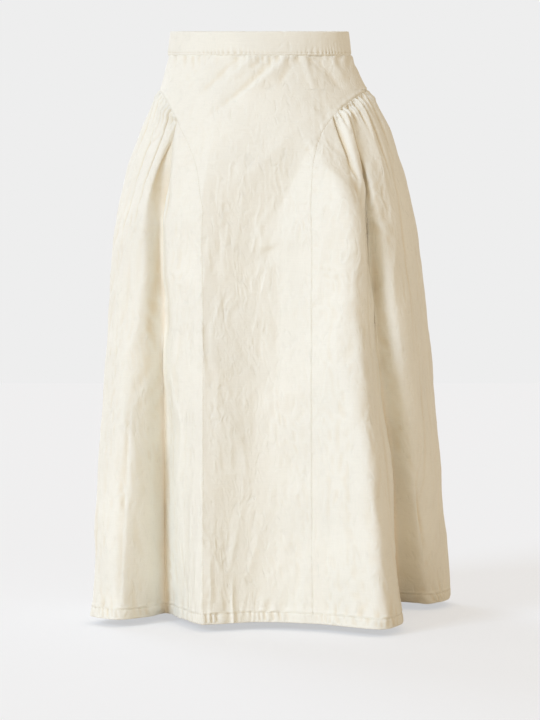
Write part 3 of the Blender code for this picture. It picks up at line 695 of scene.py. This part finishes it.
# ======== meshes
def placed(name, data):
    """A new object in the scene, at the origin, that shows this mesh, lamp or camera."""
    item = bpy.data.objects.new(name, data)
    bpy.context.scene.collection.objects.link(item)
    return item


def sheet_mesh(name, points, uv, shade, hollow_shade, material):
    """A grid of points as one sheet, its columns going clockwise from above and its rows downwards."""
    rows, columns = points.shape[:2]
    index = np.arange(rows * columns).reshape(rows, columns)
    quads = np.stack([index[:-1, :-1], index[1:, :-1], index[1:, 1:], index[:-1, 1:]], axis=-1).reshape(-1, 4)
    mesh = bpy.data.meshes.new(name)
    mesh.vertices.add(rows * columns)
    mesh.vertices.foreach_set("co", points.reshape(-1).astype(np.float32))
    mesh.loops.add(quads.size)
    mesh.loops.foreach_set("vertex_index", quads.reshape(-1).astype(np.int32))
    mesh.polygons.add(len(quads))
    mesh.polygons.foreach_set("loop_start", np.arange(0, quads.size, 4, dtype=np.int32))
    mesh.update(calc_edges=True)
    mesh.uv_layers.new(name="cloth").data.foreach_set("uv", uv.reshape(-1, 2)[quads.reshape(-1)].reshape(-1))
    # painted shade for the material: the fold tint and the hollows' darkening
    for key, values in (("fold", shade), ("hollow_shade", hollow_shade)):
        layer = mesh.attributes.new(key, "FLOAT", "POINT")
        layer.data.foreach_set("value", values.reshape(-1).astype(np.float32))
    mesh.shade_smooth()
    mesh.materials.append(material)
    return placed(name, mesh)


def with_hem(points, normals):
    """The sheet's rows carried on round its lower edge and up inside, as the hem is turned."""
    down = unit(points[-1] - points[-2])
    inside = []
    for sink, drop in ((0.0004, 0.0007), (0.0013, 0.0009), (0.0019, 0.0003)):
        inside.append(points[-1] - normals[-1] * sink + down * drop)
    up = np.linalg.norm(np.diff(points[-14:], axis=0), axis=-1).mean(axis=1)
    for back in range(2, 14, 2):
        if up[-back + 1 :].sum() < HEM_TURN * 0.75:
            inside.append(points[-back] - normals[-back] * HEM_THICK)
    return np.concatenate([points, np.array(inside)])


def grown(values, extra):
    """values with its last row repeated `extra` times, for the rows that the hem adds."""
    return np.concatenate([values, np.repeat(values[-1:], extra, axis=0)])


def finish_sheet(name, s, v, base, normals, lift, reach, fold_shade_share, material):
    """The smooth skirt's points moved out along its normals by lift, with the hem turned up."""
    points = with_hem(base + normals * lift[..., None], normals)
    extra = len(points) - len(base)
    uv = grown(np.stack([s * HEM_ROUND, -v * LENGTH], axis=-1), extra)
    # painted shade: how deep each point lies in a fold and in a hollow, kept for the cloth's colour
    shade = grown(valley_shade(s, v) * fold_shade_share, extra)
    return sheet_mesh(name, points, uv, shade, grown(hollows(lift, reach), extra), material)


def hem_rows(share):
    """share, from 0 to 1, with close even steps put in over its last part, where the hem is."""
    first = 1 - HEM_SHARE
    return np.concatenate([share[share < first - 0.005], np.linspace(first, 1, HEM_ROWS)])


def body_grid(side, rows_above, rows_seam, rows_below, columns):
    """(s, v, turn) of a front or back panel, its rows spreading out between the two seams."""
    quarters = BODY_QUARTERS[side]
    above = np.concatenate([[-0.0075, -0.0035], np.linspace(0, V_YOKE, rows_above + 1)[:-1]])
    below = V_KNEE + (1 - V_KNEE) * hem_rows(np.linspace(0, 1, rows_below + 1))[1:]
    edges = [np.concatenate([above, seam_curve(q, rows_seam)[1][::-1], below]) for q in quarters]
    even = np.concatenate([0.4 * above, np.linspace(0.4 * V_YOKE, V_KNEE, rows_seam), below])
    inner = np.linspace(0.006, 0.994, columns - 4)
    share = np.concatenate([[0, 0.0015, 0.003], inner, [0.997, 0.9985, 1]])
    v = edges[0][:, None] + (edges[1] - edges[0])[:, None] * share
    v = v + (even[:, None] - v) * np.sin(math.pi * share) ** 0.8
    first, last = seam_turn(quarters[0], v), seam_turn(quarters[1], v)
    if side == "back":
        last = last + 2 * math.pi
    turn = first + (last - first) * share
    return s_at_turn(turn), v, turn


def body_panel(name, side, material):
    """The front or the back: rows spread from the band's seam down between its two seams to the hem."""
    s, v, turn = body_grid(side, 24, 150, 205, 136)
    base, normals = skirt_surface(s, v), outward(s, v)
    lift = body_relief(side, s, v, base, normals, turn)
    return finish_sheet(name, s, v, base, normals, lift, 3, BODY_FOLD_SHADE_SHARE, material)


def side_panel(name, quarters, material):
    """Columns follow the cloth from the arch to the hem; rows are closer under the gathered seam."""
    first_s, first_v, _ = seam_curve(quarters[0], 176)
    last_s, last_v, _ = seam_curve(quarters[1], 176)
    s = np.concatenate([first_s, last_s[-2::-1]])
    top = np.concatenate([first_v, last_v[-2::-1]])
    q = np.linspace(0, 1, 242)
    q = hem_rows(q * (0.35 + 0.65 * q))[:, None]
    v = top + (1 - top) * q
    s = np.broadcast_to(s, v.shape)
    base, normals = skirt_surface(s, v), outward(s, v)
    lift = side_relief(quarters, s, v, base, normals, (v - top) * LENGTH)
    return finish_sheet(name, s, v, base, normals, lift, 5, 1.0, material)


def band_profile():
    """The folded band's section as (rise, out): up its face, over the fold and down inside, in metres."""
    face = np.array([-0.0012, -0.0006, 0.0, 0.0006, 0.0014, 0.0022, 0.0028, 0.0034, 0.0044, 0.006])
    top = BAND_HEIGHT - np.array([0.001, 0.0004, 0.0])
    up = np.concatenate([face, np.linspace(0.008, BAND_HEIGHT - 0.002, 12), top])
    out = -0.0014 * np.exp(-(((up + 0.0012) / 0.0012) ** 2))
    out = out - 0.00045 * np.exp(-(((up - 0.0028) / 0.0007) ** 2))
    out = out - 0.0011 * np.exp(-((BAND_HEIGHT - up) / 0.0007))
    inside = np.linspace(BAND_HEIGHT - 0.0012, 0.0, 8)
    return np.concatenate([up, inside]), np.concatenate([out, np.full(8, -0.0024)])


def elastic_wave(turn):
    """The back band's ripples over its elastic, in metres, none at the two ends."""
    wave = np.cos(ELASTIC_WAVES * 2 * (turn - math.pi / 2)) + 0.4 * np.cos(ELASTIC_WAVES * 4.3 * turn + 2)
    return 0.0013 * wave * np.clip((math.pi / 2 - np.abs(turn - math.pi)) / 0.2, 0, 1)


def band_side(turn):
    """The level direction out of the waist's ellipse at an angle."""
    across, deep = np.sin(turn) / WAIST_HALF_WIDTH, -np.cos(turn) / WAIST_HALF_DEPTH
    return unit(np.stack([across, deep, 0 * turn], axis=-1))


def band(name, first, last, columns, gathered, material):
    """Half of the waistband: its folded profile carried round the waist's seam, rippled where gathered."""
    turn = np.linspace(first, last, columns + 1)
    rise, out = band_profile()
    seam = skirt_surface(s_at_turn(turn), np.zeros_like(turn))
    side = band_side(turn)
    rise = rise[::-1][:, None]
    out = out[::-1][:, None]
    run = np.concatenate([[0], np.cumsum(np.linalg.norm(np.diff(seam, axis=0), axis=1))])
    lean = BAND_PROUD + 0.0002 - BAND_TAPER * rise / BAND_HEIGHT + out
    points = seam + np.array([0, 0, 1]) * (rise + 0.0002)[..., None] + side * lean[..., None]
    low = np.exp(-np.abs(rise - BAND_STITCH_UP) / 0.004)
    pucker = np.sin(run / 0.0011 + 2.5 * np.sin(run / 0.009)) * (0.5 + 0.5 * np.sin(run / 0.023 + 2))
    slow = noise(points / 0.035, 91) * 0.0008 + noise(points / np.array([0.012, 0.012, 0.03]), 92) * 0.0003
    lift = BAND_PUCKER * pucker * low + slow * np.sin(math.pi * np.clip(rise / BAND_HEIGHT, 0, 1)) ** 0.5
    if gathered:
        lift = lift + elastic_wave(turn) * (0.4 + 0.6 * np.sin(math.pi * np.clip(rise / BAND_HEIGHT, 0, 1)))
    ends = np.minimum(run, run[-1] - run)
    lift = lift - 0.0008 * np.exp(-((ends / 0.0015) ** 2))
    points = points + side * lift[..., None]
    uv = np.stack(np.broadcast_arrays(run, rise), axis=-1)
    # painted shade in the band's hollows, and no fold tint
    return sheet_mesh(name, points, uv, np.zeros(points.shape[:-1]), hollows(lift, 3), material)


# ======== stitches
def stitch_row(name, points, normals, material, length=0.0026, gap=0.0005, radius=0.00024):
    """Sewing thread along a line of points: each stitch is a short six-sided grain, sunk at both ends."""
    run = np.concatenate([[0], np.cumsum(np.linalg.norm(np.diff(points, axis=0), axis=1))])
    starts = np.arange(0.001, run[-1] - length, length + gap)
    t = np.array([0, 0.12, 0.35, 0.65, 0.88, 1])
    place = starts[:, None] + t * length
    middle = np.stack([np.interp(place, run, points[:, i]) for i in range(3)], axis=-1)
    out = unit(np.stack([np.interp(place, run, normals[:, i]) for i in range(3)], axis=-1))
    ahead = unit(np.broadcast_to(middle[:, -1:] - middle[:, :1], middle.shape))
    across = np.cross(ahead, out)
    size = radius * np.array([0.25, 0.8, 1, 1, 0.8, 0.25])[:, None]
    middle = middle + out * (np.array([-0.0003, 0.00005, 0.0002, 0.0002, 0.00005, -0.0003])[:, None])
    angle = np.arange(6) * math.pi / 3
    ring = across[..., None, :] * np.cos(angle)[:, None] + out[..., None, :] * np.sin(angle)[:, None]
    verts = middle[..., None, :] + ring * size[..., None]
    count = len(starts)
    base = np.arange(6)
    quad = np.stack([base, (base + 1) % 6, (base + 1) % 6 + 6, base + 6], axis=-1)
    quads = (quad[None] + 6 * np.arange(5)[:, None, None]).reshape(-1, 4)
    quads = (quads[None] + 36 * np.arange(count)[:, None, None]).reshape(-1, 4)
    mesh = bpy.data.meshes.new(name)
    mesh.from_pydata(verts.reshape(-1, 3), [], quads.tolist())
    mesh.shade_smooth()
    mesh.materials.append(material)
    return placed(name, mesh)


def band_stitches(side, half):
    """The row of stitches along the band's lower edge, following the elastic's ripples at the back."""
    turn = np.linspace(*half, 400)[2:-2]
    out = band_side(turn)
    seam = skirt_surface(s_at_turn(turn), np.zeros_like(turn))
    points = seam + np.array([0, 0, BAND_STITCH_UP]) + out * (BAND_PROUD - 0.0005)
    if side == "back":
        points = points + out * (elastic_wave(turn) * 0.53)[:, None]
    return stitch_row("band_stitches_" + side, points, out, THREAD)


def sheet_stitches(name, s, v, quarters):
    """A row of stitches along the places (s, v) of one sheet, on its puckered and crumpled surface."""
    base, normals = skirt_surface(s, v), outward(s, v)
    lift = seam_relief(base, v, quarters, 0) + hem_relief(s, v)
    lift = lift + crease_relief(base, normals) + crumple_of(base, v)
    return stitch_row(name, base + normals * (lift + 0.0001)[:, None], normals, THREAD)


def hem_stitches():
    """The hem's row of stitches, once round the skirt."""
    s = np.linspace(0, 1, 3000)
    return sheet_stitches("hem_stitches", s, np.full_like(s, 1 - HEM_STITCH_UP / LENGTH), QUARTERS)


def seam_stitches(quarter):
    """A row beside a panel seam, on the front's or the back's side of it, from the side down to the hem."""
    name = "seam_stitches_" + quarter.replace(" ", "_")
    s, v = whole_seam(quarter, 700)
    inward = 1 if quarter in ("left front", "right back") else -1
    beside = s[4:-4] + inward * STEP_ASIDE / HEM_ROUND
    return sheet_stitches(name, beside, v[4:-4], (quarter,))


# ======== materials
CREAM = (0.868, 0.848, 0.766)
BAND_CREAM = (0.863, 0.843, 0.761)
# painted shade: the warm tint put down in a fold, standing in for cloth lighting cloth
PAINTED_FOLD_SHADE = (0.902, 0.820, 0.685)  # down in a fold, where cloth lights cloth
# painted shade: the colour is multiplied by this down in the gathers' and puckers' hollows
PAINTED_HOLLOW_SHADE = (0.89, 0.81, 0.69, 1)  # times the colour, in a gather's or a pucker's hollow
THREAD_SCALES = ((60, 60, 1500), (1500, 1500, 60))


def add_node(owner, kind, feeds=(), **values):
    """A new node, its first inputs linked from feeds. A value is a socket, an input's value or a setting."""
    node = owner.node_tree.nodes.new(kind)
    for feed, socket in zip(feeds, node.inputs):
        owner.node_tree.links.new(feed, socket)
    for key, value in values.items():
        if isinstance(value, bpy.types.NodeSocket):
            owner.node_tree.links.new(value, node.inputs[key])
        elif key in node.inputs:
            node.inputs[key].default_value = value
        else:
            setattr(node, key, value)
    return node


def cotton(name, colour, deep):
    """Washed plain-weave cotton: cream, streaked by uneven threads, with painted shade: warmer in the folds,
    darker in the hollows and along the crumple's lines.
    """
    material = bpy.data.materials.new(name)
    material.use_nodes = True
    shader = material.node_tree.nodes["Principled BSDF"]
    shader.inputs["Roughness"].default_value = 0.88
    shader.inputs["Specular IOR Level"].default_value = 0.25
    shader.inputs["Sheen Weight"].default_value = 0.12
    shader.inputs["Sheen Roughness"].default_value = 0.5

    def add(kind, output, feeds=(), **values):
        return add_node(material, "ShaderNode" + kind, feeds, **values).outputs[output]

    def scaled(value, low, high, least, most):
        ends = {"From Min": low, "From Max": high, "To Min": least, "To Max": most}
        return add("MapRange", "Result", Value=value, **ends)

    where = add("TexCoord", "Object")
    along_threads = [add("Mapping", "Vector", Vector=where, Scale=scale) for scale in THREAD_SCALES]
    streaks = [add("TexNoise", "Fac", Vector=v, Scale=1.0, Detail=2.0, Roughness=0.6) for v in along_threads]
    threads = add("Math", 0, streaks, operation="ADD")
    drawn = add("Mapping", "Vector", Vector=where, Scale=(1, 1, 0.55))
    ridged = {"noise_type": "RIDGED_MULTIFRACTAL", "Scale": 105.0, "Detail": 3.0, "Distortion": 0.9}
    crumple = add("TexNoise", "Fac", Vector=drawn, **ridged)
    mottle = add("TexNoise", "Fac", Vector=where, Scale=14.0, Detail=3.0, Roughness=0.5)

    # painted shade masks from the sheets: the fold tint and the hollows' darkening
    fold = add("Attribute", "Fac", attribute_name="fold")
    hollow_shade = add("Attribute", "Fac", attribute_name="hollow_shade")
    tones = scaled(mottle, 0.3, 0.7, 0.975, 1.02), scaled(threads, 0.6, 1.4, 0.965, 1.03)
    # painted shade: the colour is darker along the crumple's ridged lines, the same lines that the bump
    # shows, on top of the thread and mottle tones
    tones = add("Math", 0, tones, operation="MULTIPLY"), scaled(crumple, 0.1, 0.9, 1.022, 0.962)
    tone = add("Math", 0, tones, operation="MULTIPLY")
    fold_shaded = add("Mix", "Result", data_type="RGBA", Factor=fold, A=(*colour, 1), B=(*deep, 1))
    multiply = {"data_type": "RGBA", "blend_type": "MULTIPLY"}
    tone_and_painted_shade = add("Mix", "Result", **multiply, Factor=1.0, A=fold_shaded, B=tone)
    # the hollows' painted shade darkens the colour
    sunk = add("Mix", "Result", **multiply, Factor=hollow_shade, A=tone_and_painted_shade, B=PAINTED_HOLLOW_SHADE)
    woven = add("Bump", "Normal", Strength=0.35, Distance=0.0003, Height=threads)
    crumpled = add("Bump", "Normal", Strength=1.0, Distance=-0.0010, Height=crumple, Normal=woven)
    material.node_tree.links.new(sunk, shader.inputs["Base Color"])
    material.node_tree.links.new(crumpled, shader.inputs["Normal"])
    return material


def thread_material():
    """Cream sewing thread, its tone changing along the twist."""
    material = bpy.data.materials.new("sewing thread")
    material.use_nodes = True
    shader = material.node_tree.nodes["Principled BSDF"]
    shader.inputs["Roughness"].default_value = 0.6
    shader.inputs["Sheen Weight"].default_value = 0.2
    where = add_node(material, "ShaderNodeTexCoord").outputs["Object"]
    twist = add_node(material, "ShaderNodeTexNoise", Vector=where, Scale=900.0).outputs["Fac"]
    tones = {"A": (0.74, 0.68, 0.55, 1), "B": (0.84, 0.79, 0.68, 1)}
    shade = add_node(material, "ShaderNodeMix", data_type="RGBA", Factor=twist, **tones)
    material.node_tree.links.new(shade.outputs["Result"], shader.inputs["Base Color"])
    return material


# ======== the skirt
CLOTH = cotton("washed cream cotton", CREAM, PAINTED_FOLD_SHADE)
BAND_CLOTH = cotton("washed cream cotton band", BAND_CREAM, PAINTED_FOLD_SHADE)
THREAD = thread_material()

front_panel = body_panel("front_panel_cloth", "front", CLOTH)
back_panel = body_panel("back_panel_cloth", "back", CLOTH)
right_panel = side_panel("side_panel_right_cloth", ("right front", "right back"), CLOTH)
left_panel = side_panel("side_panel_left_cloth", ("left back", "left front"), CLOTH)
front_band = band("waistband_front_cloth", *FRONT_HALF, 260, False, BAND_CLOTH)
back_band = band("waistband_back_cloth", *BACK_HALF, 360, True, BAND_CLOTH)
front_rows, back_rows = [[seam_stitches(quarter) for quarter in pair] for pair in BODY_QUARTERS.values()]
# node, its sheet, the rows of stitches on it, then as it was cut: widest width, length and flat area, and how
# it is held
SHEETS = [
    ("front_panel", front_panel, front_rows, 0.43, 0.81, 0.150, "hung"),
    ("back_panel", back_panel, back_rows, 0.46, 0.81, 0.160, "hung"),
    ("side_panel_right", right_panel, [hem_stitches()], 0.86, 0.76, 0.520, "gathered"),
    ("side_panel_left", left_panel, [], 0.80, 0.76, 0.460, "gathered"),
    ("waistband_front", front_band, [band_stitches("front", FRONT_HALF)], 0.36, 0.068, None, "folded"),
    ("waistband_back", back_band, [band_stitches("back", BACK_HALF)], 0.44, 0.068, None, "folded"),
]

# ======== floor, light and camera
mesh = bpy.data.meshes.new("floor")
corners = [(x, y, FLOOR_Z) for x, y in ((-30, -30), (30, -30), (30, 30), (-30, 30))]
mesh.from_pydata(corners, [], [(0, 1, 2, 3)])
floor = placed("floor", mesh)
# The camera sees the floor as bright as the backdrop, and the cloth gets a plain warm bounce from it.
pale = bpy.data.materials.new("pale floor")
pale.use_nodes = True
shader = pale.node_tree.nodes["Principled BSDF"]
shader.inputs["Base Color"].default_value = (0.39, 0.39, 0.39, 1)
shader.inputs["Roughness"].default_value = 1.0
shader.inputs["Specular IOR Level"].default_value = 0.0
glow = add_node(pale, "ShaderNodeEmission", Color=(0.530, 0.537, 0.550, 1)).outputs[0]
bounce = add_node(pale, "ShaderNodeBsdfDiffuse", Color=(0.84, 0.77, 0.67, 1)).outputs[0]
lit = add_node(pale, "ShaderNodeAddShader", (shader.outputs["BSDF"], glow)).outputs[0]
camera_ray = add_node(pale, "ShaderNodeLightPath").outputs["Is Camera Ray"]
choice = add_node(pale, "ShaderNodeMixShader", (camera_ray, bounce, lit)).outputs[0]
pale.node_tree.links.new(choice, pale.node_tree.nodes["Material Output"].inputs["Surface"])
mesh.materials.append(pale)

world = bpy.data.worlds.new("studio")
bpy.context.scene.world = world
world.use_nodes = True
seen = world.node_tree.nodes["Background"]
seen.inputs["Color"].default_value = (0.855, 0.855, 0.855, 1)
ambient = add_node(world, "ShaderNodeBackground", Color=(1.03, 0.85, 0.62, 1), Strength=0.56).outputs[0]
camera_ray = add_node(world, "ShaderNodeLightPath").outputs["Is Camera Ray"]
choice = add_node(world, "ShaderNodeMixShader", (camera_ray, ambient, seen.outputs[0])).outputs[0]
world.node_tree.links.new(choice, world.node_tree.nodes["World Output"].inputs["Surface"])


def sun(name, place, strength, spread, colour):
    """A soft light of even strength from the direction of place, spread over that many degrees."""
    light = bpy.data.lights.new(name, "SUN")
    light.energy = strength
    light.angle = math.radians(spread)
    light.color = colour
    lamp = placed(name, light)
    lamp.rotation_euler = Vector(place).to_track_quat("Z", "Y").to_euler()


sun("key", (-0.60, -0.70, 0.44), 1.64, 20, (0.69, 0.86, 1.10))
sun("fill", (0.10, -1.0, 0.15), 0.35, 60, (0.91, 1.00, 1.06))
sun("back key", (-0.45, 0.80, 0.46), 1.2, 30, (0.70, 0.86, 1.10))

data = bpy.data.cameras.new("camera")
data.lens = FOCAL
data.sensor_width = 36
camera = placed("camera", data)
camera.location = EYE
camera.rotation_euler = (math.pi / 2, 0, 0)
bpy.context.scene.camera = camera
bpy.context.scene.view_settings.view_transform = "Standard"

# ======== onto the root, in place of the model's parts
for node, piece, rows, width, length, area, held in SHEETS:
    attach(piece, "root")
    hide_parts(node)
    for row in rows:
        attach(row, "root")
